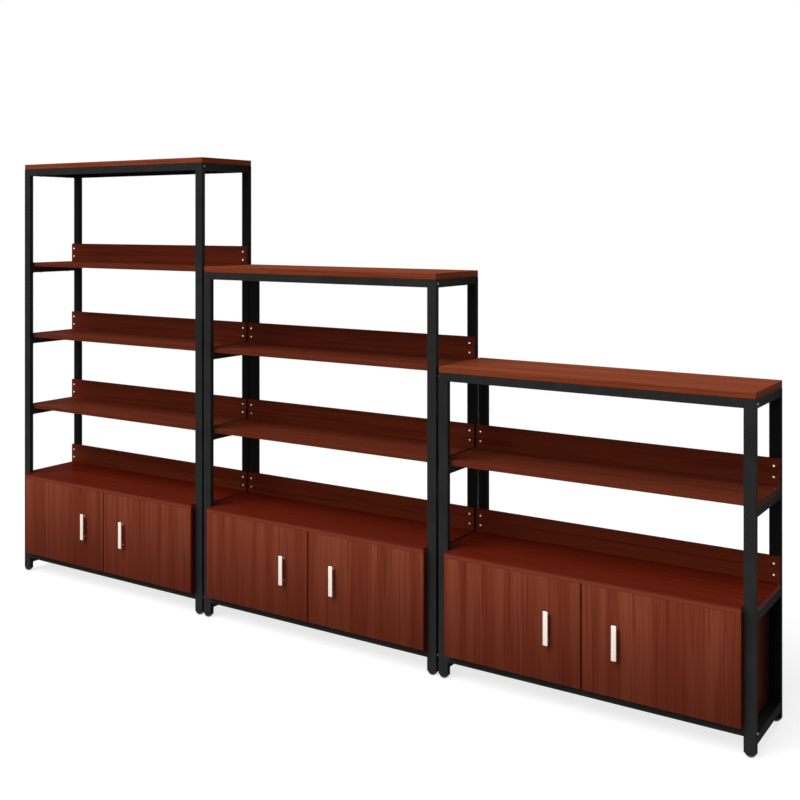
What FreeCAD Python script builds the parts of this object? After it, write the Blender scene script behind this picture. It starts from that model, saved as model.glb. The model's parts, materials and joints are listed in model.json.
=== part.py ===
# A run of three stepped display units for bread, side by side: tall, middle and low.
# Each unit is a black steel tube frame that carries wooden boards over a two-door base cabinet.
# Millimetres, +Z up, the front towards -Y. The origin is on the floor, under the run's centre.

import FreeCAD
import Part
import math
import os

Vector = FreeCAD.Vector
ALONG_X = Vector(1, 0, 0)
ALONG_Y = Vector(0, 1, 0)
ALONG_Z = Vector(0, 0, 1)

# Units
tall_height = 1996.0
middle_height = 1519.0
low_height = 1170.0
tall_shelf_count = 3
middle_shelf_count = 2
low_shelf_count = 1
unit_width = 1180.0
frame_depth = 327.0

# Steel tube frame
post_width = 40.0
post_depth = 20.0
rail_height = 30.0
side_rail_width = 40.0
tube_wall = 1.5
tube_corner = 1.0
end_plate = 6.0
base_rail_bottom = 64.0
base_side_rail_bottom = 41.0

# Boards and back lips
top_board_thickness = 25.0
top_board_edge = 3.0
shelf_thickness = 18.0
shelf_pitch = 349.0
board_edge = 1.0
board_inset = 1.0
board_clearance = 0.5
lip_height = 90.0
lip_thickness = 15.0

# Base cabinet
cabinet_height = 481.0
cabinet_display_height = 316.0
cabinet_top_thickness = 18.0
cabinet_top_edge = 4.0
front_reach = 26.0
panel_thickness = 18.0
back_panel_thickness = 5.0

# Doors and their pivots
door_thickness = 18.0
door_gap = 5.0
door_top_clearance = 0.3
pivot_inset = 10.0
pivot_rest_gap = 0.1
swing_clearance = 0.5
pin_diameter = 6.0
pin_length = 12.0
bush_wall = 2.0
bush_end_room = 2.0
bush_flange_width = 2.0
bush_flange_thickness = 0.5
running_clearance = 0.05
plate_width = 40.0
plate_thickness = 2.0
plate_margin = 2.0
plate_edge = 0.6
plate_overlap = 18.0
plate_seat_clearance = 0.2
plate_screw_diameter = 3.0
plate_screw_length = 6.0
plate_screw_head_diameter = 5.6
plate_screw_head_height = 1.2
plate_screw_spacing = 12.0

# Magnetic catches
catch_depth = 24.0
catch_height = 14.0
catch_edge = 1.5
catch_gap = 0.3
strike_width = 24.0
strike_height = 10.0
strike_thickness = 1.5
strike_inset = 4.0
strike_drop = 1.5

# Handles
handle_length = 120.0
handle_width = 19.0
handle_thickness = 8.0
handle_edge = 2.5
handle_standoff = 13.0
handle_post_diameter = 8.0
handle_post_inset = 14.0
handle_centre_height = 288.0
handle_offset = 127.0
handle_screw_bite = 9.0

# Levelling feet
foot_diameter = 36.0
foot_height = 12.0
foot_sole_diameter = 12.0
foot_gap = 1.0
stud_diameter = 8.0
stud_length = 22.0
insert_flange = 2.0
insert_length = 20.0
insert_clearance = 0.1

# Bolts and screws
hole_clearance = 0.3
thread_clearance = 0.05
bolt_diameter = 5.0
bolt_bite = 10.0
bolt_head_diameter = 8.5
bolt_head_height = 5.0
bolt_head_round = 0.8
bolt_head_clearance = 0.4
bolt_socket_radius = 2.3
bolt_socket_depth = 2.5
bolt_access_diameter = 12.0
screw_diameter = 4.0
screw_head_diameter = 8.0
screw_head_height = 2.5
screw_head_round = 1.5
screw_slot_length = 4.6
screw_slot_width = 1.0
screw_slot_depth = 1.2
screw_bite = 12.0
rail_screw_inset = 60.0
lip_screw_height = 26.0
lip_screw_spacing = 38.5
lip_screw_bite = 5.0

# Places that follow from the driving dimensions
units = (
    ("tall", tall_height, tall_shelf_count),
    ("middle", middle_height, middle_shelf_count),
    ("low", low_height, low_shelf_count),
)
unit_gap = 2 * bolt_head_height + bolt_head_clearance
run_width = len(units) * unit_width + (len(units) - 1) * unit_gap
unit_middle = unit_width / 2
front_post_y = post_depth / 2
rear_post_y = frame_depth - post_depth / 2
rear_post_face = frame_depth - post_depth
post_bottom = foot_height + foot_gap + insert_flange
carcass_left = post_width + board_clearance
door_front = -front_reach
door_back = door_front + door_thickness
pivot_x = carcass_left + pivot_inset
pivot_y = door_front + door_thickness / 2
carcass_front = pivot_y + math.hypot(pivot_inset, door_thickness / 2) + swing_clearance
base_rail_top = base_rail_bottom + rail_height
cabinet_floor = base_rail_top + panel_thickness
cabinet_underside = cabinet_height - cabinet_top_thickness
door_bottom = base_rail_top + plate_thickness + pivot_rest_gap + bush_flange_thickness
door_top = cabinet_underside - bush_flange_thickness - door_top_clearance
bush_diameter = pin_diameter + 2 * (running_clearance + bush_wall)
bush_length = pin_length + bush_end_room
handle_x = unit_middle - handle_offset
handle_front = door_front - handle_standoff - handle_thickness
handle_post_heights = (
    handle_centre_height - handle_length / 2 + handle_post_inset,
    handle_centre_height + handle_length / 2 - handle_post_inset,
)
rail_screw_places = (post_depth + rail_screw_inset, rear_post_face - rail_screw_inset)
run_centre_y = (handle_front + rear_post_y + foot_diameter / 2) / 2


def block(x, y, z, edge=0.0):
    """A box between three pairs of limits, with all its edges rounded where edge is given."""
    solid = Part.makeBox(x[1] - x[0], y[1] - y[0], z[1] - z[0], Vector(x[0], y[0], z[0]))
    if edge:
        solid = solid.makeFillet(edge, solid.Edges)
    return solid


def rod(start, direction, length, diameter):
    """A round bar, or the round hole that one leaves."""
    return Part.makeCylinder(diameter / 2, length, Vector(*start), direction)


def cut(solid, tools):
    """The solid with its holes and recesses cut out."""
    return solid.cut(tools).Solids[0]


def fused(*solids):
    """One solid piece made of several shapes."""
    return solids[0].fuse(list(solids[1:])).removeSplitter().Solids[0]


def mirrored(solid):
    """The same piece at the other end of its unit."""
    return solid.mirror(Vector(unit_middle, 0, 0), ALONG_X)


def both_ends(solids):
    """Pieces at the left end of a unit together with their mirrored twins at the right end."""
    return list(solids) + [mirrored(solid) for solid in solids]


def edges_along(solid, direction):
    """The straight edges of a box that run along a direction."""
    return [edge for edge in solid.Edges if abs(edge.tangentAt(edge.FirstParameter).dot(direction)) > 0.5]


def tube(x, y, z, direction, plate=0.0):
    """A rectangular tube with rounded long edges, closed by welded end plates where they are given."""
    solid = block(x, y, z)
    solid = solid.makeFillet(tube_corner, edges_along(solid, direction))
    bore = []
    for limits, axis in ((x, ALONG_X), (y, ALONG_Y), (z, ALONG_Z)):
        wall = plate if axis == direction else tube_wall
        bore.append((limits[0] + wall, limits[1] - wall))
    return cut(solid, [block(*bore)])


def top_underside(height):
    """The height of the top board's lower face, where the posts and top rails end."""
    return height - top_board_thickness


def shelf_undersides(shelf_count):
    """The heights of the open shelves' lower faces, up from the one above the cabinet."""
    first = cabinet_height + cabinet_display_height
    return [first + step * shelf_pitch for step in range(shelf_count)]


def board_undersides(height, shelf_count):
    """The lower faces of all boards that rest on side rails: cabinet top, shelves and top board."""
    return [cabinet_underside] + shelf_undersides(shelf_count) + [top_underside(height)]


def lip_bottoms(shelf_count):
    """The upper faces that a back lip stands on: the cabinet top and every shelf."""
    return [cabinet_height] + [underside + shelf_thickness for underside in shelf_undersides(shelf_count)]


def long_rail_bottoms(height):
    """The lower edges of the base and top rails that tie a unit's two side frames together."""
    return (base_rail_bottom, top_underside(height) - rail_height)


def lip_screw_heights(shelf_count):
    """The heights of the screws that hold the back lips to the rear posts."""
    steps = (lip_screw_height, lip_screw_height + lip_screw_spacing)
    return [bottom + step for bottom in lip_bottoms(shelf_count) for step in steps]


def bolt_places(height):
    """The depth and height of each bolt through the posts into the ends of the long rails."""
    heights = [bottom + rail_height / 2 for bottom in long_rail_bottoms(height)]
    return [(y, z) for y in (front_post_y, rear_post_y) for z in heights]


# Frame of a unit


def side_frames(height, shelf_count):
    """Two welded ladders: front and rear post with a side rail under every board and at the base."""
    bolt_hole = bolt_diameter + 2 * hole_clearance
    screw_hole = screw_diameter + 2 * hole_clearance
    pilot_hole = screw_diameter + 2 * thread_clearance
    top = top_underside(height)
    tubes = []
    for centre in (front_post_y, rear_post_y):
        depth = (centre - post_depth / 2, centre + post_depth / 2)
        heights = [z for y, z in bolt_places(height) if y == centre]
        holes = [rod((0, centre, z), ALONG_X, post_width, bolt_hole) for z in heights]
        if centre == rear_post_y:
            holes += [rod((0, centre, z), ALONG_X, tube_wall, bolt_access_diameter) for z in heights]
            holes += [
                rod((post_width / 2, rear_post_face, z), ALONG_Y, tube_wall, pilot_hole)
                for z in lip_screw_heights(shelf_count)
            ]
        post = tube((0, post_width), depth, (post_bottom, top), ALONG_Z)
        tubes.append(cut(post, holes))
    reach = (post_depth, rear_post_face)
    for underside in board_undersides(height, shelf_count):
        bottom = underside - rail_height
        rail = tube((0, side_rail_width), reach, (bottom, underside), ALONG_Y)
        holes = [
            rod((side_rail_width / 2, y, bottom), ALONG_Z, rail_height, screw_hole) for y in rail_screw_places
        ]
        tubes.append(cut(rail, holes))
    base = (base_side_rail_bottom, base_side_rail_bottom + rail_height)
    tubes.append(tube((0, side_rail_width), reach, base, ALONG_Y))
    return both_ends(tubes)


def long_rails(height):
    """Four rails between the side frames, with threaded end plates and seats for the lower pivots."""
    thread = bolt_diameter + 2 * thread_clearance
    rails = []
    for y, z in bolt_places(height):
        depth = (y - post_depth / 2, y + post_depth / 2)
        span = (post_width, unit_width - post_width)
        rail = tube(span, depth, (z - rail_height / 2, z + rail_height / 2), ALONG_X, end_plate)
        holes = [rod((post_width, y, z), ALONG_X, end_plate, thread)]
        if (y, z) == bolt_places(height)[0]:
            holes += [
                rod((x, y, base_rail_top - tube_wall), ALONG_Z, tube_wall, plate_screw_hole())
                for x in plate_screw_places()
            ]
        rails.append(cut(rail, both_ends(holes)))
    return rails


# Boards


def screwed_board(solid, underside):
    """A board with the pilot holes for the screws that come up through its side rails."""
    pilot = screw_diameter + 2 * thread_clearance
    holes = [rod((side_rail_width / 2, y, underside), ALONG_Z, screw_bite, pilot) for y in rail_screw_places]
    return cut(solid, both_ends(holes))


def top_board(height):
    """The thick board that covers the frame, flush with it all round."""
    underside = top_underside(height)
    board = block((0, unit_width), (0, frame_depth), (underside, height), top_board_edge)
    return screwed_board(board, underside)


def between_posts():
    """The depth of a board that fits between the front and rear posts."""
    return (post_depth + board_clearance, rear_post_face - board_clearance)


def shelf(underside):
    """A plain board that lies on two side rails."""
    width = (board_inset, unit_width - board_inset)
    board = block(width, between_posts(), (underside, underside + shelf_thickness), board_edge)
    return screwed_board(board, underside)


def back_lips(shelf_count):
    """Upright boards along the back of every display surface, screwed to the rear posts."""
    hole = screw_diameter + 2 * hole_clearance
    front = rear_post_face - lip_thickness
    lips = []
    for bottom in lip_bottoms(shelf_count):
        width = (board_inset, unit_width - board_inset)
        lip = block(width, (front, rear_post_face), (bottom, bottom + lip_height), board_edge)
        holes = [
            rod((post_width / 2, front, bottom + step), ALONG_Y, lip_thickness, hole)
            for step in (lip_screw_height, lip_screw_height + lip_screw_spacing)
        ]
        lips.append(cut(lip, both_ends(holes)))
    return lips


# Base cabinet


def cabinet_top():
    """A board that goes round the front posts and over the doors, with a soft front edge in line with them."""
    height = (cabinet_underside, cabinet_height)
    carcass = (carcass_left, unit_width - carcass_left)
    front = block(carcass, (door_front, frame_depth / 2), height)
    front_edges = [edge for edge in edges_along(front, ALONG_X) if edge.CenterOfMass.y < carcass_front]
    upper_edge = max(front_edges, key=lambda edge: edge.CenterOfMass.z)
    front = front.makeFillet(cabinet_top_edge, [upper_edge])
    rear = block((board_inset, unit_width - board_inset), between_posts(), height)
    board = fused(rear, front)
    seat = block(
        widened(plate_span()),
        widened((door_front + plate_margin, carcass_front - plate_margin)),
        (cabinet_underside, cabinet_underside + plate_thickness),
    )
    pilots = [
        rod((x, pivot_y, cabinet_underside), ALONG_Z, plate_screw_length, plate_screw_hole())
        for x in plate_screw_places()
    ]
    board = cut(board, both_ends([seat] + pilots))
    return screwed_board(board, cabinet_underside)


def plate_seat():
    """The shallow recess in the underside of the carcass that takes a lower pivot plate."""
    return block(
        widened(plate_span()),
        widened((door_front, plate_overlap)),
        (base_rail_top, base_rail_top + plate_thickness),
    )


def cabinet_sides():
    """Two upright panels up to the cabinet top, notched over the front base rail."""
    width = (carcass_left, carcass_left + panel_thickness)
    panel = block(width, (carcass_front, rear_post_face), (base_rail_bottom, cabinet_underside))
    notch = block(width, (carcass_front, post_depth + board_clearance), (base_rail_bottom, base_rail_top))
    return both_ends([cut(panel, [notch, plate_seat()])])


def cabinet_bottom():
    """The floor board on the base rails, between the side panels and wider behind them."""
    inner_left = carcass_left + panel_thickness
    height = (base_rail_top, cabinet_floor)
    front = block((inner_left, unit_width - inner_left), (carcass_front, rear_post_face), height)
    rear_depth = (rear_post_face, frame_depth - board_inset)
    rear = block((carcass_left, unit_width - carcass_left), rear_depth, height)
    return cut(fused(front, rear), both_ends([plate_seat()]))


def cabinet_back():
    """A thin panel between the rear posts, closing the cabinet behind."""
    carcass = (carcass_left, unit_width - carcass_left)
    depth = (rear_post_face, rear_post_face + back_panel_thickness)
    return block(carcass, depth, (cabinet_floor, cabinet_height))


def door_catch():
    """A double magnetic catch under the cabinet top, one half for each door."""
    reach = door_gap / 2 + strike_inset + strike_width
    front = door_back + strike_thickness + catch_gap
    return block(
        (unit_middle - reach, unit_middle + reach),
        (front, front + catch_depth),
        (cabinet_underside - catch_height, cabinet_underside),
        catch_edge,
    )


# Pivots


def widened(limits):
    """The limits of a seat that leaves room all round a plate."""
    return (limits[0] - plate_seat_clearance, limits[1] + plate_seat_clearance)


def plate_span():
    """The width that a pivot plate covers, from near the outer edge of its door."""
    left = carcass_left + plate_margin
    return (left, left + plate_width)


def plate_screw_places():
    """Two screws in a pivot plate, inwards from its pin."""
    first = pivot_x + pin_diameter / 2 + plate_screw_spacing / 2
    return (first, first + plate_screw_spacing)


def plate_screw_hole():
    """The diameter of the hole that takes a pivot plate's screw."""
    return plate_screw_diameter + 2 * thread_clearance


def pivot_plate(depth, seat, facing, screw_y):
    """A steel plate with a riveted pin; facing is 1 where the pin points up and -1 where it points down."""
    face = seat + facing * plate_thickness
    plate = block(plate_span(), depth, (min(seat, face), max(seat, face)))
    plate = plate.makeFillet(plate_edge, edges_along(plate, ALONG_Z))
    pin = rod((pivot_x, pivot_y, seat), ALONG_Z * facing, plate_thickness + pin_length, pin_diameter)
    recess = plate_screw_head_diameter + 2 * thread_clearance
    holes = []
    for x in plate_screw_places():
        holes.append(rod((x, screw_y, seat), ALONG_Z * facing, plate_thickness, plate_screw_hole()))
        holes.append(rod((x, screw_y, face), ALONG_Z * -facing, plate_screw_head_height, recess))
    return cut(fused(plate, pin), holes)


def plate_screws(face, facing, screw_y):
    """The flat-headed screws that hold a pivot plate, with their heads level with its face."""
    screws = []
    for x in plate_screw_places():
        head = rod((x, screw_y, face), ALONG_Z * -facing, plate_screw_head_height, plate_screw_head_diameter)
        shank = rod((x, screw_y, face), ALONG_Z * -facing, plate_screw_length, plate_screw_diameter)
        screws.append(fused(head, shank))
    return screws


def pivot_plates():
    """The lower plate on the base rail and the upper plate under the cabinet top, at both ends."""
    lower = pivot_plate((door_front + plate_margin, plate_overlap), base_rail_top, 1, front_post_y)
    upper_depth = (door_front + plate_margin, carcass_front - plate_margin)
    upper = pivot_plate(upper_depth, cabinet_underside + plate_thickness, -1, pivot_y)
    return both_ends([lower, upper])


def pivot_screws():
    """The screws of all four pivot plates of a unit."""
    lower = plate_screws(base_rail_top + plate_thickness, 1, front_post_y)
    upper = plate_screws(cabinet_underside, -1, pivot_y)
    return both_ends(lower + upper)


def pivot_bush(edge, inwards):
    """A flanged bush in the door's lower or upper edge; inwards points from that edge into the door."""
    centre = Vector(pivot_x, pivot_y, edge)
    outside = centre - inwards * bush_flange_thickness
    body = rod(centre, inwards, bush_length, bush_diameter)
    flange = rod(outside, inwards, bush_flange_thickness, bush_diameter + 2 * bush_flange_width)
    bore = rod(outside, inwards, bush_flange_thickness + bush_length, pin_diameter + 2 * running_clearance)
    return cut(fused(body, flange), [bore])


# Doors and handles


def left_door():
    """A flat door panel, its two pivot bushes and its strike plate."""
    edge = unit_middle - door_gap / 2
    panel = block((carcass_left, edge), (door_front, door_back), (door_bottom, door_top), board_edge)
    socket = bush_diameter + 2 * thread_clearance
    screw_hole = screw_diameter + 2 * hole_clearance
    holes = [
        rod((pivot_x, pivot_y, door_bottom), ALONG_Z, bush_length, socket),
        rod((pivot_x, pivot_y, door_top), -ALONG_Z, bush_length, socket),
    ]
    holes += [
        rod((handle_x, door_front, z), ALONG_Y, door_thickness, screw_hole) for z in handle_post_heights
    ]
    strike_middle = cabinet_underside - catch_height / 2 - strike_drop
    strike = block(
        (edge - strike_inset - strike_width, edge - strike_inset),
        (door_back, door_back + strike_thickness),
        (strike_middle - strike_height / 2, strike_middle + strike_height / 2),
    )
    strike = strike.makeFillet(plate_edge, edges_along(strike, ALONG_Y))
    return [cut(panel, holes), pivot_bush(door_bottom, ALONG_Z), pivot_bush(door_top, -ALONG_Z), strike]


def left_handle():
    """A flat bar on two round posts, and the screws that hold it through the door."""
    bar = block(
        (handle_x - handle_width / 2, handle_x + handle_width / 2),
        (handle_front, handle_front + handle_thickness),
        (handle_centre_height - handle_length / 2, handle_centre_height + handle_length / 2),
        handle_edge,
    )
    back_of_bar = handle_front + handle_thickness / 2
    posts = [
        rod((handle_x, back_of_bar, z), ALONG_Y, door_front - back_of_bar, handle_post_diameter)
        for z in handle_post_heights
    ]
    thread = screw_diameter + 2 * thread_clearance
    holes = [rod((handle_x, door_front, z), -ALONG_Y, handle_screw_bite, thread) for z in handle_post_heights]
    screw = pan_screw(door_thickness + handle_screw_bite).rotated(Vector(), ALONG_X, 90)
    screws = [screw.translated(Vector(handle_x, door_back, z)) for z in handle_post_heights]
    return [cut(fused(bar, *posts), holes)] + screws


# Levelling feet


def foot(x, y):
    """A domed glide with a small flat sole and a threaded stud, turned to level the unit."""
    rim = foot_diameter / 2
    sole = foot_sole_diameter / 2
    centre = (rim**2 - sole**2 + foot_height**2) / (2 * foot_height)
    ball = Part.makeSphere(math.hypot(sole, centre), Vector(x, y, centre))
    dome = ball.common(rod((x, y, 0), ALONG_Z, foot_height, 2 * foot_diameter)).Solids[0]
    return fused(dome, rod((x, y, foot_height), ALONG_Z, stud_length, stud_diameter))


def foot_insert(y):
    """A threaded plug in the lower end of a left-hand post."""
    gap = tube_wall + insert_clearance
    low = y - post_depth / 2
    flange = block((0, post_width), (low, low + post_depth), (post_bottom - insert_flange, post_bottom))
    flange = flange.makeFillet(tube_corner, edges_along(flange, ALONG_Z))
    plug = block(
        (gap, post_width - gap),
        (low + gap, low + post_depth - gap),
        (post_bottom, post_bottom + insert_length),
    )
    thread = stud_diameter + 2 * thread_clearance
    start = (post_width / 2, y, post_bottom - insert_flange)
    hole = rod(start, ALONG_Z, insert_flange + insert_length, thread)
    return cut(fused(flange, plug), [hole])


# Bolts and screws


def pan_screw(length):
    """A cross-slotted screw along +Z, with the underside of its head at the origin."""
    head = rod((0, 0, -screw_head_height), ALONG_Z, screw_head_height, screw_head_diameter)
    rim = min((edge for edge in head.Edges if edge.Closed), key=lambda edge: edge.CenterOfMass.z)
    head = head.makeFillet(screw_head_round, [rim])
    arm = (-screw_slot_length / 2, screw_slot_length / 2)
    width = (-screw_slot_width / 2, screw_slot_width / 2)
    depth = (-screw_head_height, screw_slot_depth - screw_head_height)
    head = cut(head, [block(arm, width, depth), block(width, arm, depth)])
    return fused(head, rod((0, 0, 0), ALONG_Z, length, screw_diameter))


def frame_bolt(grip):
    """A round-headed socket bolt along +X that clamps a thickness, with its head against X = 0."""
    head = rod((-bolt_head_height, 0, 0), ALONG_X, bolt_head_height, bolt_head_diameter)
    rim = min((edge for edge in head.Edges if edge.Closed), key=lambda edge: edge.CenterOfMass.x)
    head = head.makeFillet(bolt_head_round, [rim])
    corners = [math.radians(60 * step) for step in range(7)]
    outline = [
        Vector(-bolt_head_height, bolt_socket_radius * math.cos(turn), bolt_socket_radius * math.sin(turn))
        for turn in corners
    ]
    socket = Part.Face(Part.makePolygon(outline)).extrude(ALONG_X * bolt_socket_depth)
    return fused(cut(head, [socket]), rod((0, 0, 0), ALONG_X, grip + bolt_bite, bolt_diameter))


def frame_bolts(height):
    """The bolts that hold a unit's long rails: through the front posts, and sunk inside the rear ones."""
    bolts = []
    for y, z in bolt_places(height):
        sunk = post_width - tube_wall if y == rear_post_y else 0
        bolts.append(frame_bolt(post_width - sunk).translated(Vector(sunk, y, z)))
    return both_ends(bolts)


def board_screws(height, shelf_count):
    """The screws up through the side rails into the boards, and through the lips into the rear posts."""
    upright = pan_screw(rail_height + screw_bite)
    level = pan_screw(lip_thickness + lip_screw_bite).rotated(Vector(), ALONG_X, -90)
    screws = [
        upright.translated(Vector(side_rail_width / 2, y, underside - rail_height))
        for underside in board_undersides(height, shelf_count)
        for y in rail_screw_places
    ]
    screws += [
        level.translated(Vector(post_width / 2, rear_post_face - lip_thickness, z))
        for z in lip_screw_heights(shelf_count)
    ]
    return both_ends(screws)


# Assembly: each node's pieces, moved to their unit's place in the run

nodes = {}


def add(name, solids, place):
    """Put pieces that are drawn in a unit's own corner frame into a node of the run."""
    nodes.setdefault(name, []).extend(solid.translated(place) for solid in solids)


for index, (unit, height, shelf_count) in enumerate(units):
    place = Vector(index * (unit_width + unit_gap) - run_width / 2, -run_centre_y, 0)
    add(f"{unit}_side_frames", side_frames(height, shelf_count), place)
    add(f"{unit}_long_rails", long_rails(height), place)
    add(f"{unit}_top_board", [top_board(height)], place)
    for level, underside in enumerate(shelf_undersides(shelf_count), start=1):
        add(f"{unit}_shelf_{level}", [shelf(underside)], place)
    add(f"{unit}_back_lips", back_lips(shelf_count), place)
    add(f"{unit}_cabinet_top", [cabinet_top()], place)
    add(f"{unit}_cabinet_sides", cabinet_sides(), place)
    add(f"{unit}_cabinet_bottom", [cabinet_bottom()], place)
    add(f"{unit}_cabinet_back", [cabinet_back()], place)
    door = left_door()
    handle = left_handle()
    add(f"{unit}_left_door", door, place)
    add(f"{unit}_right_door", [mirrored(piece) for piece in door], place)
    add(f"{unit}_left_handle", handle, place)
    add(f"{unit}_right_handle", [mirrored(piece) for piece in handle], place)
    for depth_name, y in (("front", front_post_y), ("rear", rear_post_y)):
        for side, x in (("left", post_width / 2), ("right", unit_width - post_width / 2)):
            add(f"{unit}_{depth_name}_{side}_foot", [foot(x, y)], place)
        add("foot_inserts", both_ends([foot_insert(y)]), place)
    add("pivot_plates", pivot_plates(), place)
    add("door_catches", [door_catch()], place)
    add("frame_bolts", frame_bolts(height), place)
    add("board_screws", board_screws(height, shelf_count) + pivot_screws(), place)

os.makedirs("parts", exist_ok=True)
for name, solids in nodes.items():
    Part.makeCompound(solids).exportStep(f"parts/{name}.step")
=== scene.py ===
# A run of three stepped display units: black tube frames with red-brown boards, over cabinets with doors.
# Metres, +Z up, the fronts towards -Y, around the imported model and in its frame.

import json
import math

import bmesh
import bpy
from mathutils import Matrix, Vector


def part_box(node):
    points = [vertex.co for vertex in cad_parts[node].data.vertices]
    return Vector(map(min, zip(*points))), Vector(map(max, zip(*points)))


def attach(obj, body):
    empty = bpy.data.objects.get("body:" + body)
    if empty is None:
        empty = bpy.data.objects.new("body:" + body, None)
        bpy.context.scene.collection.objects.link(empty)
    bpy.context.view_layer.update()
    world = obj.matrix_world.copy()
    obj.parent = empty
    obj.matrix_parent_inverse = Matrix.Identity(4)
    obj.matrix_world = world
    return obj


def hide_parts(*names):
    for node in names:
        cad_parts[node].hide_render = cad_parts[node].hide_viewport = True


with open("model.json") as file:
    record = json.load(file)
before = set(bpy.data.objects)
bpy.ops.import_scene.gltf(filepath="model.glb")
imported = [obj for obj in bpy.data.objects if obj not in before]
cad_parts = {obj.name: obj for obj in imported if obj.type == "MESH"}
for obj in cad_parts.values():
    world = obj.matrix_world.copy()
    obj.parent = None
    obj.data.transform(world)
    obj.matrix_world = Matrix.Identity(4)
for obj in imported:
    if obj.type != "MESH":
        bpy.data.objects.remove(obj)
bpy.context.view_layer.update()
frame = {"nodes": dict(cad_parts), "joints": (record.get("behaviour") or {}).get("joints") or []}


# Side frames and long rails
# Rectangular steel tube, cut and welded into ladders, which the long rails tie together with bolts.
# Black powder coat, baked on, with a fine orange peel and a haze that drifts at random. Painted shade makes
# it near black towards the back.

def feed(tree, socket, value):
    """Gives a socket a plain value, or links another node's output to it."""
    if isinstance(value, bpy.types.NodeSocket):
        tree.links.new(value, socket)
    else:
        socket.default_value = value


def add_node(tree, kind, sockets=None, **settings):
    """A shader node with its own settings, and its sockets fed by name or number."""
    node = tree.nodes.new("ShaderNode" + kind)
    for name, value in settings.items():
        setattr(node, name, value)
    for name, value in (sockets or {}).items():
        feed(tree, node.inputs[name], value)
    return node


def noise(tree, vector, size, detail, roughness=0.5):
    """Cloudy noise whose patches are about that size across."""
    sockets = {"Vector": vector, "Scale": 1 / size, "Detail": detail, "Roughness": roughness}
    return add_node(tree, "TexNoise", sockets).outputs["Fac"]


def remap(tree, value, low, high, start=0.0, end=1.0):
    """A value between two limits, spread smoothly between two others."""
    sockets = {"Value": value, "From Min": low, "From Max": high, "To Min": start, "To Max": end}
    return add_node(tree, "MapRange", sockets, interpolation_type="SMOOTHSTEP").outputs["Result"]


def sum_of(tree, first, second, share):
    """Two patterns laid over each other, the second with that share."""
    sockets = {"Factor": share, "A": first, "B": second}
    return add_node(tree, "Mix", sockets).outputs["Result"]


def mixed(tree, share, first, second, kind="RGBA"):
    """A colour between two others, or a vector where the kind says so."""
    node = add_node(tree, "Mix", data_type=kind)
    ends = [socket for socket in node.inputs if socket.type == kind and socket.name in "AB"]
    for socket, value in zip([node.inputs["Factor"], *ends], (share, first, second)):
        feed(tree, socket, value)
    return [socket for socket in node.outputs if socket.type == kind][0]


def effect(name, inputs, outputs):
    """An empty node group for a surface effect, with its named inputs and outputs."""
    group = bpy.data.node_groups.new(name, "ShaderNodeTree")
    for label, kind in inputs.items():
        group.interface.new_socket(label, in_out="INPUT", socket_type="NodeSocket" + kind)
    for label, kind in outputs.items():
        group.interface.new_socket(label, in_out="OUTPUT", socket_type="NodeSocket" + kind)
    given = group.nodes.new("NodeGroupInput").outputs
    made = group.nodes.new("NodeGroupOutput").inputs
    return group, given, made


def new_finish(name, **shader_values):
    """A material with its shader's plain values, and the coordinates that its patterns follow."""
    material = bpy.data.materials.new(name)
    material.use_nodes = True
    tree = material.node_tree
    shader = tree.nodes["Principled BSDF"]
    for label, value in shader_values.items():
        shader.inputs[label.replace("_", " ")].default_value = value
    return material, tree, shader, add_node(tree, "TexCoord").outputs["Object"]


def dressed(tree, shader, colour, roughness, relief, depth):
    """Joins a pattern's colour, roughness and relief to the shader."""
    bump = add_node(tree, "Bump", {"Height": relief, "Distance": depth, "Strength": 1.0})
    tree.links.new(colour, shader.inputs["Base Color"])
    tree.links.new(roughness, shader.inputs["Roughness"])
    tree.links.new(bump.outputs["Normal"], shader.inputs["Normal"])


def corners(node):
    """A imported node's lowest and highest corners."""
    return [Vector(corner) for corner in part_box(node)]


def finished(material, *names):
    """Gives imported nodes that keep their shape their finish."""
    for name in names:
        for slot in frame["nodes"][name].material_slots:
            slot.material = material


UNITS = ("tall", "middle", "low")
PEEL_SIZE = 0.0016
DIMPLE_SIZE = 0.0005
DIMPLE_SHARE = 0.3
HAZE_SIZE = 0.14
HAZE_LIMITS = (0.3, 0.7)
powder_coat, given, made = effect("powder_coat", {"Vector": "Vector"}, {"Peel": "Float", "Haze": "Float"})
peel = noise(powder_coat, given["Vector"], PEEL_SIZE, detail=1.0)
dimples = noise(powder_coat, given["Vector"], DIMPLE_SIZE, detail=0.0)
haze = noise(powder_coat, given["Vector"], HAZE_SIZE, detail=4.0, roughness=0.6)
powder_coat.links.new(sum_of(powder_coat, peel, dimples, DIMPLE_SHARE), made["Peel"])
powder_coat.links.new(remap(powder_coat, haze, *HAZE_LIMITS), made["Haze"])

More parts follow.
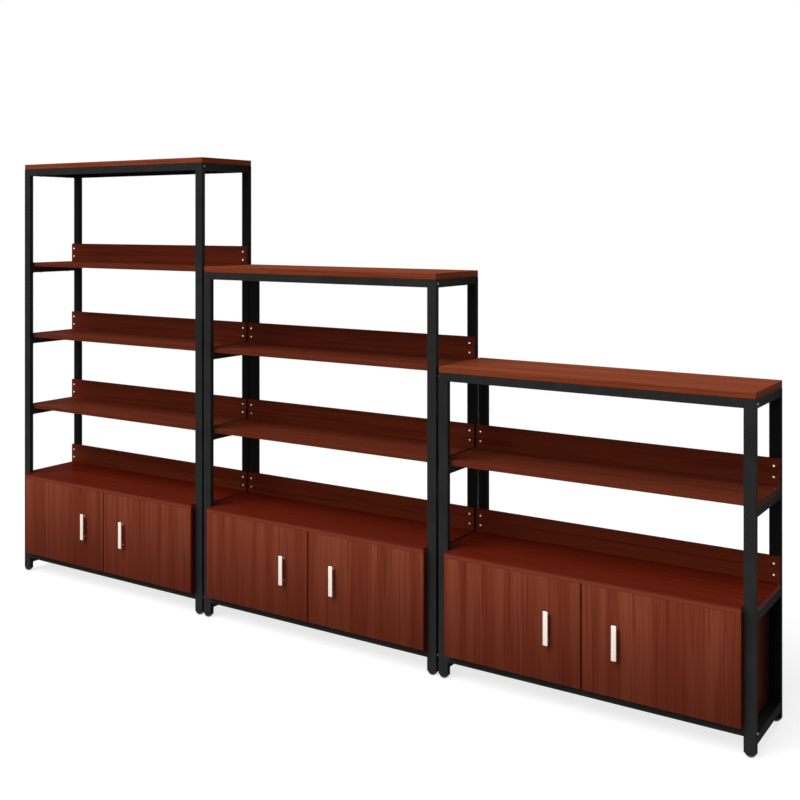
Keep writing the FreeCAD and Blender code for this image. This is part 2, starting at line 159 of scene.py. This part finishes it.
BLACK = (0.0195, 0.0192, 0.0191, 1)
HAZED_BLACK = (0.0265, 0.0259, 0.0256, 1)
PAINTED_SHADE_BLACK = (0.0035, 0.0034, 0.0034, 1)
PAINTED_SHADE_SHARE = 0.8
PEEL_DEPTH = 0.00006
POWDER_ROUGHNESS = (0.46, 0.58)
POWDER_SHEEN = 0.05
POWDER_SHEEN_ROUGHNESS = 0.35
black_steel, tree, shader, place = new_finish(
    "black_powder_coat",
    Specular_IOR_Level=0.0, Coat_Weight=POWDER_SHEEN, Coat_Roughness=POWDER_SHEEN_ROUGHNESS)
coat = add_node(tree, "Group", {"Vector": place}, node_tree=powder_coat).outputs
frame_front, frame_rear = [corner.y for corner in corners("low_side_frames")]
reach = add_node(tree, "SeparateXYZ", {"Vector": place}).outputs["Y"]
hazed = mixed(tree, coat["Haze"], BLACK, HAZED_BLACK)
# Painted shade: from the front posts to the rear ones the coat darkens towards near black.
dressed(
    tree, shader,
    mixed(tree, remap(tree, reach, frame_front, frame_rear, 0.0, PAINTED_SHADE_SHARE), hazed, PAINTED_SHADE_BLACK),
    remap(tree, coat["Haze"], 0.0, 1.0, *POWDER_ROUGHNESS),
    coat["Peel"], PEEL_DEPTH,
)
finished(black_steel, *[f"{unit}_{part}" for unit in UNITS for part in ("side_frames", "long_rails")])


# Welds of the side frames
# Fillet beads where the underside of every side rail meets its two posts, run across the tube.
# They are coated with the frame, so only their ripples show.

ROOT = "units"
POST_WIDTH = 0.040
POST_DEPTH = 0.020
SIDE_RAIL_HEIGHT = 0.030
BASE_SIDE_RAIL_BOTTOM = 0.041
WELD_RADIUS = 0.0026
WELD_INSET = 0.002
WELD_SIDES = 10
WELD_RIPPLES = 13
RIPPLE_SWELL = 1.16
SHARP_ANGLE = math.radians(35)


def new_piece(name, shape, body, materials, replaced=()):
    """Makes a shape a piece that moves with a body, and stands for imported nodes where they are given."""
    mesh = bpy.data.meshes.new(name)
    shape.to_mesh(mesh)
    shape.free()
    for material in materials:
        mesh.materials.append(material)
    mesh.shade_smooth()
    mesh.set_sharp_from_angle(angle=SHARP_ANGLE)
    piece = bpy.data.objects.new(name, mesh)
    bpy.context.scene.collection.objects.link(piece)
    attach(piece, body)
    if replaced:
        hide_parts(*replaced)


def weld_bead(shape):
    """A rippled bead along X, centred on the origin."""
    length = POST_WIDTH - 2 * WELD_INSET
    bmesh.ops.create_cone(
        shape, cap_ends=True, segments=WELD_SIDES, radius1=WELD_RADIUS, radius2=WELD_RADIUS, depth=length,
        matrix=Matrix.Rotation(math.radians(90), 4, "Y"),
    )
    lengthwise = [edge for edge in shape.edges if edge.calc_length() > length / 2]
    bmesh.ops.subdivide_edges(shape, edges=lengthwise, cuts=WELD_RIPPLES)
    pitch = length / (WELD_RIPPLES + 1)
    crests = [vert for vert in shape.verts if round(vert.co.x / pitch) % 2]
    bmesh.ops.scale(shape, verts=crests, vec=(1, RIPPLE_SWELL, RIPPLE_SWELL))


def verts_of(parts):
    """The vertices among a shape's parts."""
    return [part for part in parts if isinstance(part, bmesh.types.BMVert)]


for unit in UNITS:
    low, high = corners(f"{unit}_side_frames")
    boards = [name for name in frame["nodes"] if name.startswith((f"{unit}_shelf_", f"{unit}_cabinet_top"))]
    boards.append(f"{unit}_top_board")
    undersides = [corners(name)[0].z - SIDE_RAIL_HEIGHT for name in boards] + [BASE_SIDE_RAIL_BOTTOM]
    welds = bmesh.new()
    weld_bead(welds)
    bead = welds.verts[:] + welds.edges[:] + welds.faces[:]
    for x in (low.x + POST_WIDTH / 2, high.x - POST_WIDTH / 2):
        for y in (low.y + POST_DEPTH, high.y - POST_DEPTH):
            for z in undersides:
                copy = bmesh.ops.duplicate(welds, geom=bead)["geom"]
                bmesh.ops.translate(welds, verts=verts_of(copy), vec=(x, y, z))
    bmesh.ops.delete(welds, geom=verts_of(bead), context="VERTS")
    new_piece(f"{unit}_welds", welds, ROOT, [black_steel])


# Boards: tops, shelves and cabinet tops
# Particle board faced with a red-brown wood-grain laminate, the grain along the board, the edges banded.
# A cabinet top's upper face is darker with painted shade, and its front edge has the doors' tone. Screws
# come up through the side rails.

BAND_SIZE = 0.060
BAND_LIMITS = (0.36, 0.64)
LINE_SIZE = 0.011
LINE_LIMITS = (0.54, 0.68)
LINE_SHARE = 0.48
STREAK_SIZE = 0.0035
STREAK_LIMITS = (0.38, 0.62)
STREAK_SHARE = 0.35
PORE_SIZE = 0.0016
PORE_LIMITS = (0.62, 0.78)
PORE_SHARE = 0.35
straight_grain, given, made = effect(
    "straight_grain",
    {"Vector": "Vector", "Dark": "Color", "Middle": "Color", "Light": "Color"},
    {"Color": "Color", "Tone": "Float", "Pores": "Float"},
)
bands, lines, streaks, pores = [
    remap(straight_grain, noise(straight_grain, given["Vector"], size, detail), *limits)
    for size, detail, limits in (
        (BAND_SIZE, 2.0, BAND_LIMITS),
        (LINE_SIZE, 1.0, LINE_LIMITS),
        (STREAK_SIZE, 2.0, STREAK_LIMITS),
        (PORE_SIZE, 1.0, PORE_LIMITS),
    )
]
tone = sum_of(straight_grain, bands, streaks, STREAK_SHARE)
ground = mixed(straight_grain, tone, given["Middle"], given["Light"])
line_mask = remap(straight_grain, lines, 0.0, 1.0, 0.0, LINE_SHARE)
pore_mask = remap(straight_grain, pores, 0.0, 1.0, 0.0, PORE_SHARE)
lined = mixed(straight_grain, line_mask, ground, given["Dark"])
pored = mixed(straight_grain, pore_mask, lined, given["Dark"])
straight_grain.links.new(pored, made["Color"])
straight_grain.links.new(tone, made["Tone"])
straight_grain.links.new(pores, made["Pores"])

GRAIN_STRETCH = 0.02
PORE_DEPTH = -0.00005
END_FACING = (0.7, 0.9)
GLOSS_DRIFT = 0.05
OVERLAY_SHEEN = 0.03
OVERLAY_ROUGHNESS = 0.32


def laminate(name, dark, middle, light, along, roughness, fade=None):
    """A satin laminate whose grain runs along one axis; its ends are banded with grain across them.

    A fade holds an axis, where a second colour starts and ends on it, its first share and that colour.
    """
    material, tree, shader, place = new_finish(
        name, Specular_IOR_Level=0.0, Coat_Weight=OVERLAY_SHEEN, Coat_Roughness=OVERLAY_ROUGHNESS)
    runs = []
    for run in (along, "Y" if along == "X" else "X"):
        stretch = [GRAIN_STRETCH if axis == run else 1.0 for axis in "XYZ"]
        runs.append(add_node(tree, "Mapping", {"Vector": place, "Scale": stretch}).outputs["Vector"])
    facing = add_node(tree, "TexCoord").outputs["Normal"]
    facing = add_node(tree, "VectorMath", {0: facing}, operation="ABSOLUTE").outputs["Vector"]
    on_end = remap(tree, add_node(tree, "SeparateXYZ", {"Vector": facing}).outputs[along], *END_FACING)
    run = mixed(tree, on_end, *runs, kind="VECTOR")
    tones = {"Dark": dark, "Middle": middle, "Light": light}
    grain = add_node(tree, "Group", {"Vector": run, **tones}, node_tree=straight_grain).outputs
    colour = grain["Color"]
    if fade:
        axis, start, end, share, other = fade
        reach = add_node(tree, "SeparateXYZ", {"Vector": place}).outputs[axis]
        colour = mixed(tree, remap(tree, reach, start, end, share, 0.0), colour, other)
    gloss = remap(tree, grain["Tone"], 0.0, 1.0, roughness + GLOSS_DRIFT, roughness - GLOSS_DRIFT)
    dressed(tree, shader, colour, gloss, grain["Pores"], PORE_DEPTH)
    return material


TOP_TONES = ((0.126, 0.0165, 0.0055, 1), (0.190, 0.0370, 0.0130, 1), (0.246, 0.0575, 0.0235, 1))
# Painted shade: the shelves' tones are darker than the tops', as in the shade of the boards above.
SHADED_SHELF_TONES = ((0.072, 0.010, 0.0040, 1), (0.113, 0.020, 0.0085, 1), (0.145, 0.029, 0.0130, 1))
SHADED_CABINET_TOP_TONES = ((0.076, 0.0064, 0.0021, 1), (0.101, 0.0092, 0.0029, 1), (0.126, 0.0128, 0.0043, 1))
CABINET_TOP_THICKNESS = 0.018
FRONT_BAND_DROP = 0.0085
FRONT_BAND_EDGE = 0.0005
FRONT_BAND_SHARE = 0.9
FRONT_BAND_COLOUR = (0.205, 0.0432, 0.0210, 1)
cabinet_top = corners("low_cabinet_top")[0].z + CABINET_TOP_THICKNESS
band_start, band_end = cabinet_top - FRONT_BAND_DROP, cabinet_top - FRONT_BAND_EDGE
top_wood = laminate("top_laminate", *TOP_TONES, along="X", roughness=0.45)
shelf_wood = laminate("shelf_laminate", *SHADED_SHELF_TONES, along="X", roughness=0.5)
# Painted shade: the upper face takes the darker tones, and the front edge below the fade a tone like the
# lit doors.
cabinet_top_wood = laminate(
    "cabinet_top_laminate", *SHADED_CABINET_TOP_TONES, along="X", roughness=0.5,
    fade=("Z", band_start, band_end, FRONT_BAND_SHARE, FRONT_BAND_COLOUR))
finished(top_wood, *[f"{unit}_top_board" for unit in UNITS])
finished(shelf_wood, *[name for name in frame["nodes"] if "_shelf_" in name])
finished(cabinet_top_wood, *[f"{unit}_cabinet_top" for unit in UNITS])


# Back lips
# Narrow upright boards behind every display surface, of the same laminate, screwed to the rear posts.

# Painted shade: the lips' tones are darker than the tops', as in the shade of the boards above.
SHADED_LIP_TONES = ((0.066, 0.0075, 0.0030, 1), (0.104, 0.0150, 0.0056, 1), (0.130, 0.0210, 0.0085, 1))
lip_wood = laminate("lip_laminate", *SHADED_LIP_TONES, along="X", roughness=0.5)
finished(lip_wood, *[f"{unit}_back_lips" for unit in UNITS])


# Cabinet carcass
# Upright side panels, a floor board and a thin back panel under each cabinet top, in the same laminate.
# The side panels darken towards the back, where the posts shade them.

CARCASS_TONES = ((0.069, 0.010, 0.0050, 1), (0.104, 0.017, 0.0080, 1), (0.132, 0.024, 0.0115, 1))
SHADE_REACH = 0.17
SHADE_SHARE = 0.8
SHADE_COLOUR = (0.012, 0.006, 0.0045, 1)
side_rear = corners("low_cabinet_sides")[1].y
side_wood = laminate(
    "side_laminate", *CARCASS_TONES, along="Z", roughness=0.55,
    fade=("Y", side_rear, side_rear - SHADE_REACH, SHADE_SHARE, SHADE_COLOUR))
carcass_wood = laminate("carcass_laminate", *CARCASS_TONES, along="Z", roughness=0.55)
finished(side_wood, *[f"{unit}_cabinet_sides" for unit in UNITS])
finished(carcass_wood, *[f"{unit}_cabinet_back" for unit in UNITS])
finished(shelf_wood, *[f"{unit}_cabinet_bottom" for unit in UNITS])


# Doors
# Flat laminated panels with upright grain, their edges banded with a plain strip of the same colour.
# Each turns on two pins at its outer end, in flanged nylon bushes, and has a steel strike for the catch.

SIDES = ("left", "right")
DOOR_EDGE = 0.001
DOOR_FACING = 0.9
BUSH_FLANGE = 0.0005
BUSH_RADIUS = 0.00705
BUSH_RIM_RADIUS = BUSH_RADIUS * 0.94
BUSH_RIM_HEIGHT = BUSH_FLANGE * 0.6
PIN_RADIUS = 0.00305
STRIKE_WIDTH = 0.024
STRIKE_HEIGHT = 0.010
STRIKE_THICKNESS = 0.0015
STRIKE_EDGE = 0.0004
STRIKE_INSET = 0.004
STRIKE_BELOW_TOP = 0.0077
MERGE_DISTANCE = 1e-6


def rounded_block(shape, low, high, edge, segments=2):
    """A box between two corners with all its edges rounded."""
    verts = bmesh.ops.create_cube(shape, size=1.0)["verts"]
    bmesh.ops.scale(shape, verts=verts, vec=high - low)
    bmesh.ops.translate(shape, verts=verts, vec=(low + high) / 2)
    edges = [line for line in shape.edges if line.verts[0] in verts]
    bmesh.ops.bevel(
        shape, geom=edges, offset=edge, affect="EDGES", segments=segments, profile=0.5, material=-1)


def turned(shape, profile, centre, axis, steps=32):
    """A turned part: a profile of radii and heights along an axis, spun all the way round."""
    across = Vector(axis).orthogonal().normalized()
    verts = [
        shape.verts.new(centre + across * radius + Vector(axis) * height) for radius, height in profile
    ]
    edges = [shape.edges.new(pair) for pair in zip(verts, verts[1:])]
    bmesh.ops.spin(
        shape, geom=verts + edges, cent=centre, axis=axis, angle=math.tau, steps=steps, use_merge=True)
    bmesh.ops.remove_doubles(shape, verts=shape.verts[:], dist=MERGE_DISTANCE)
    bmesh.ops.recalc_face_normals(shape, faces=shape.faces[:])


CLOUD_SIZE = 0.004
CLOUD_LIMITS = (0.3, 0.7)
FINE_GRAIN_SIZE = 0.0006
mottle, given, made = effect("mottle", {"Vector": "Vector"}, {"Cloud": "Float", "Grain": "Float"})
cloud = noise(mottle, given["Vector"], CLOUD_SIZE, detail=3.0)
mottle.links.new(remap(mottle, cloud, *CLOUD_LIMITS), made["Cloud"])
mottle.links.new(noise(mottle, given["Vector"], FINE_GRAIN_SIZE, detail=1.0), made["Grain"])

MOTTLE_DRIFT = 0.06


def mottled(name, dark, light, roughness, depth, stretch=(1.0, 1.0, 1.0), **shader_values):
    """A plated, cast or brushed surface whose tone and gloss drift a little, over a fine grain."""
    material, tree, shader, place = new_finish(name, **shader_values)
    drawn = add_node(tree, "Mapping", {"Vector": place, "Scale": stretch}).outputs["Vector"]
    spots = add_node(tree, "Group", {"Vector": drawn}, node_tree=mottle).outputs
    gloss = remap(tree, spots["Cloud"], 0.0, 1.0, roughness - MOTTLE_DRIFT, roughness + MOTTLE_DRIFT)
    dressed(tree, shader, mixed(tree, spots["Cloud"], dark, light), gloss, spots["Grain"], depth)
    return material


DOOR_TONES = ((0.101, 0.0142, 0.0062, 1), (0.152, 0.0268, 0.0117, 1), (0.220, 0.0518, 0.0266, 1))
DOOR_PAINTED_SHADE_SHARE = 0.55
DOOR_PAINTED_SHADE_COLOUR = (0.088, 0.0140, 0.0058, 1)
EDGE_BAND_TONES = ((0.080, 0.012, 0.0050, 1), (0.110, 0.019, 0.0080, 1), (0.130, 0.024, 0.0110, 1))
door_low, door_high = corners("low_left_door")
# Painted shade: each door panel darkens towards its foot.
door_wood = laminate(
    "door_laminate", *DOOR_TONES, along="Z", roughness=0.45,
    fade=("Z", door_low.z, door_high.z, DOOR_PAINTED_SHADE_SHARE, DOOR_PAINTED_SHADE_COLOUR))
edge_band = laminate("door_edge_band", *EDGE_BAND_TONES, along="Z", roughness=0.5)
bush_nylon = mottled(
    "bush_nylon", dark=(0.012, 0.012, 0.012, 1), light=(0.018, 0.018, 0.018, 1),
    roughness=0.4, depth=0.00002, Specular_IOR_Level=0.2)
plain_steel = mottled(
    "plain_steel", dark=(0.42, 0.42, 0.43, 1), light=(0.54, 0.54, 0.55, 1),
    roughness=0.38, depth=0.00001, Metallic=1.0)
pivots = {joint["child"]: Vector(joint["pos_m"]) for joint in frame["joints"]}

for unit in UNITS:
    for side in SIDES:
        door = f"{unit}_{side}_door"
        low, high = corners(door)
        low.z += BUSH_FLANGE
        high.z -= BUSH_FLANGE
        high.y -= STRIKE_THICKNESS
        panel = bmesh.new()
        rounded_block(panel, low, high, DOOR_EDGE)
        # The faces that look neither to the front nor to the back carry the edge band
        for face in panel.faces:
            face.material_index = int(abs(face.normal.y) < DOOR_FACING)
        new_piece(f"{door}_panel", panel, door, [door_wood, edge_band], [door])

        fittings = bmesh.new()
        ring = [
            (PIN_RADIUS, 0.0), (PIN_RADIUS, BUSH_FLANGE), (BUSH_RIM_RADIUS, BUSH_FLANGE),
            (BUSH_RADIUS, BUSH_RIM_HEIGHT), (BUSH_RADIUS, 0.0), (PIN_RADIUS, 0.0),
        ]
        pin = pivots[door]
        turned(fittings, ring, Vector((pin.x, pin.y, high.z)), (0, 0, 1))
        turned(fittings, ring, Vector((pin.x, pin.y, low.z)), (0, 0, -1))
        for face in fittings.faces:
            face.material_index = 1
        from_end = STRIKE_INSET + STRIKE_WIDTH / 2
        strike_x = high.x - from_end if side == "left" else low.x + from_end
        strike = Vector((strike_x, high.y, high.z - STRIKE_BELOW_TOP))
        reach = Vector((STRIKE_WIDTH / 2, 0, STRIKE_HEIGHT / 2))
        rounded_block(
            fittings, strike - reach, strike + reach + Vector((0, STRIKE_THICKNESS, 0)), STRIKE_EDGE)
        new_piece(f"{door}_fittings", fittings, door, [plain_steel, bush_nylon])


# Handles
# Flat aluminium bars on two round posts, brushed along their length and anodised champagne.
# A screw through the door holds each post, with its round head inside the cabinet.

BAR_THICKNESS = 0.008
BAR_EDGE = 0.0025
HANDLE_REACH = 0.021
HANDLE_POST_RADIUS = 0.004
HANDLE_POST_INSET = 0.014
HANDLE_POST_SEAT = 0.001
FLARE_RADIUS = 0.005
FLARE_FOOT = 0.0008
FLARE_HEIGHT = 0.0030
SCREW_HEAD_RADIUS = 0.004
SCREW_HEAD_HEIGHT = 0.0025
SCREW_HEAD_DOME = ((1.0, 0.0), (1.0, 0.35), (0.88, 0.72), (0.6, 0.93), (0.0, 1.0))
DOOR_THICKNESS = 0.018

BRUSHED_UPRIGHT = (1.0, 1.0, 0.03)
champagne = mottled(
    "champagne_anodised", dark=(0.78, 0.675, 0.585, 1), light=(0.88, 0.785, 0.700, 1),
    roughness=0.38, depth=0.00002, stretch=BRUSHED_UPRIGHT, Metallic=0.8)
nickel = mottled(
    "nickel_plate", dark=(0.80, 0.78, 0.75, 1), light=(0.92, 0.90, 0.87, 1),
    roughness=0.3, depth=0.00001, Metallic=0.9)
round_head = [(SCREW_HEAD_RADIUS * out, SCREW_HEAD_HEIGHT * up) for out, up in SCREW_HEAD_DOME]
post_profile = [
    (FLARE_RADIUS, 0.0), (FLARE_RADIUS, FLARE_FOOT), (HANDLE_POST_RADIUS, FLARE_HEIGHT),
    (HANDLE_POST_RADIUS, HANDLE_REACH - BAR_THICKNESS + HANDLE_POST_SEAT),
]
for unit in UNITS:
    for side in SIDES:
        door = f"{unit}_{side}_door"
        handle = f"{unit}_{side}_handle"
        low, high = corners(handle)
        door_front = low.y + HANDLE_REACH
        middle = (low.x + high.x) / 2
        grip = bmesh.new()
        rounded_block(grip, low, Vector((high.x, low.y + BAR_THICKNESS, high.z)), BAR_EDGE, segments=4)
        screws = bmesh.new()
        for z in (low.z + HANDLE_POST_INSET, high.z - HANDLE_POST_INSET):
            turned(grip, post_profile, Vector((middle, door_front, z)), (0, -1, 0))
            turned(screws, round_head, Vector((middle, door_front + DOOR_THICKNESS, z)), (0, 1, 0))
        new_piece(f"{handle}_grip", grip, door, [champagne], [handle])
        new_piece(f"{handle}_screws", screws, door, [nickel])


# Feet, their inserts and the catches
# Round feet on threaded studs, turned into inserts in the posts' lower ends, all of moulded black plastic.
# The catches, brown plastic with a magnet, sit under the cabinet tops and hold the doors' strikes.

foot_plastic = mottled(
    "black_moulding", dark=(0.008, 0.008, 0.008, 1), light=(0.013, 0.013, 0.013, 1),
    roughness=0.34, depth=0.00004, Specular_IOR_Level=0.4)
catch_plastic = mottled(
    "brown_moulding", dark=(0.070, 0.030, 0.017, 1), light=(0.100, 0.045, 0.026, 1),
    roughness=0.45, depth=0.00004, Specular_IOR_Level=0.3)
finished(foot_plastic, "foot_inserts", *[name for name in frame["nodes"] if name.endswith("_foot")])
finished(catch_plastic, "door_catches")


# Pivots, bolts and screws
# Pivot plates coated black like the frame, and grey zinc-plated bolts in the posts.
# The screws in the back lips are bright nickel; those under the rails and in the pivot plates are black.

zinc = mottled(
    "zinc_plate", dark=(0.11, 0.11, 0.115, 1), light=(0.16, 0.16, 0.165, 1),
    roughness=0.42, depth=0.00002, Metallic=1.0)
finished(black_steel, "pivot_plates")
finished(zinc, "frame_bolts")

LIP_HEAD_ROOM = 0.004
LIP_HEAD_FADE = 0.001
NICKEL = (0.90, 0.89, 0.87, 1)
BRIGHT_NICKEL = (1.00, 0.99, 0.97, 1)
SCREW_ROUGHNESS = (0.24, 0.36)
SCREW_GRAIN_DEPTH = 0.00001
screw_plate, tree, shader, place = new_finish("screw_plate", Metallic=1.0)
spots = add_node(tree, "Group", {"Vector": place}, node_tree=mottle).outputs
lip_heads = corners("low_back_lips")[0].y - LIP_HEAD_ROOM
reach = add_node(tree, "SeparateXYZ", {"Vector": place}).outputs["Y"]
in_lip = remap(tree, reach, lip_heads, lip_heads + LIP_HEAD_FADE)
bright = mixed(tree, spots["Cloud"], NICKEL, BRIGHT_NICKEL)
dull = mixed(tree, spots["Cloud"], BLACK, HAZED_BLACK)
dressed(
    tree, shader,
    mixed(tree, in_lip, dull, bright),
    remap(tree, spots["Cloud"], 0.0, 1.0, *SCREW_ROUGHNESS),
    spots["Grain"], SCREW_GRAIN_DEPTH,
)
finished(screw_plate, "board_screws")


# Studio
# A pale floor that keeps the shadow, an even white background, soft lamps in front and a weak one behind.

AMBIENT = 0.30
WHITE = (1, 1, 1, 1)


def seen_rays(tree):
    """1 for rays that show the background itself, in the view, in a gloss or through glass."""
    rays = add_node(tree, "LightPath").outputs
    direct = {0: rays["Is Camera Ray"], 1: rays["Is Glossy Ray"]}
    direct = add_node(tree, "Math", direct, operation="MAXIMUM").outputs[0]
    through = {0: direct, 1: rays["Is Transmission Ray"]}
    return add_node(tree, "Math", through, operation="MAXIMUM").outputs[0]


world = bpy.data.worlds.new("studio")
bpy.context.scene.world = world
world.use_nodes = True
tree = world.node_tree
backdrop = tree.nodes["Background"]
backdrop.inputs["Color"].default_value = WHITE
tree.links.new(remap(tree, seen_rays(tree), 0.0, 1.0, AMBIENT, 1.0), backdrop.inputs["Strength"])

FLOOR_RADIUS = 14.0
FLOOR_SIDES = 96
FLOOR_BOUNCE = (0.2, 0.2, 0.2, 1)
FLOOR_TONE = (0.30, 0.30, 0.30, 1)
FLOOR_GLOW = 0.76
FADE_START = 2.0
FADE_END = 4.5
shape = bmesh.new()
bmesh.ops.create_circle(shape, cap_ends=True, segments=FLOOR_SIDES, radius=FLOOR_RADIUS)
mesh = bpy.data.meshes.new("floor")
shape.to_mesh(mesh)
shape.free()
floor = bpy.data.objects.new("floor", mesh)
bpy.context.scene.collection.objects.link(floor)
paint = bpy.data.materials.new("floor_paint")
paint.use_nodes = True
tree = paint.node_tree
tree.nodes.remove(tree.nodes["Principled BSDF"])
pale = add_node(tree, "BsdfDiffuse", {"Color": FLOOR_BOUNCE})
lit = add_node(tree, "BsdfDiffuse", {"Color": FLOOR_TONE})
glow = add_node(tree, "Emission", {"Color": WHITE, "Strength": FLOOR_GLOW})
near = add_node(tree, "AddShader", {0: lit.outputs[0], 1: glow.outputs[0]})
white = add_node(tree, "Emission", {"Color": WHITE, "Strength": 1.0})
place = add_node(tree, "TexCoord").outputs["Object"]
distance = add_node(tree, "VectorMath", {0: place}, operation="LENGTH").outputs["Value"]
fade = remap(tree, distance, FADE_START, FADE_END)
view = add_node(tree, "MixShader", {0: fade, 1: near.outputs[0], 2: white.outputs[0]})
final = add_node(tree, "MixShader", {0: seen_rays(tree), 1: pale.outputs[0], 2: view.outputs[0]})
tree.links.new(final.outputs[0], tree.nodes["Material Output"].inputs["Surface"])
mesh.materials.append(paint)


def lamp(name, azimuth, elevation, strength, softness):
    """A far soft lamp: azimuth 0 shines from the front, and positive ones from the right."""
    light = bpy.data.lights.new(name, "SUN")
    light.energy = strength
    light.angle = math.radians(softness)
    holder = bpy.data.objects.new(name, light)
    turn, tilt = math.radians(azimuth), math.radians(elevation)
    source = Vector((math.sin(turn) * math.cos(tilt), -math.cos(turn) * math.cos(tilt), math.sin(tilt)))
    holder.rotation_euler = source.to_track_quat("Z", "Y").to_euler()
    bpy.context.scene.collection.objects.link(holder)


lamp("key", azimuth=-20, elevation=52, strength=2.5, softness=45)
lamp("front", azimuth=-30, elevation=22, strength=0.7, softness=60)
lamp("back", azimuth=168, elevation=10, strength=0.9, softness=20)


# Camera
# It stands level at eye height, to the right of the run, and its lens is shifted down to take in the floor.

CAMERA_PLACE = (2.7600, -3.7267, 1.7075)
CAMERA_TURN = math.radians(33.06)
LENS_LENGTH = 50
LENS_SHIFT = -0.2209
SENSOR_WIDTH = 36
scene = bpy.context.scene
scene.view_settings.view_transform = "Standard"
camera = bpy.data.cameras.new("camera")
camera.lens = LENS_LENGTH
camera.sensor_width = SENSOR_WIDTH
camera.shift_y = LENS_SHIFT
holder = bpy.data.objects.new("camera", camera)
holder.location = CAMERA_PLACE
holder.rotation_euler = (math.radians(90), 0, CAMERA_TURN)
scene.collection.objects.link(holder)
scene.camera = holder
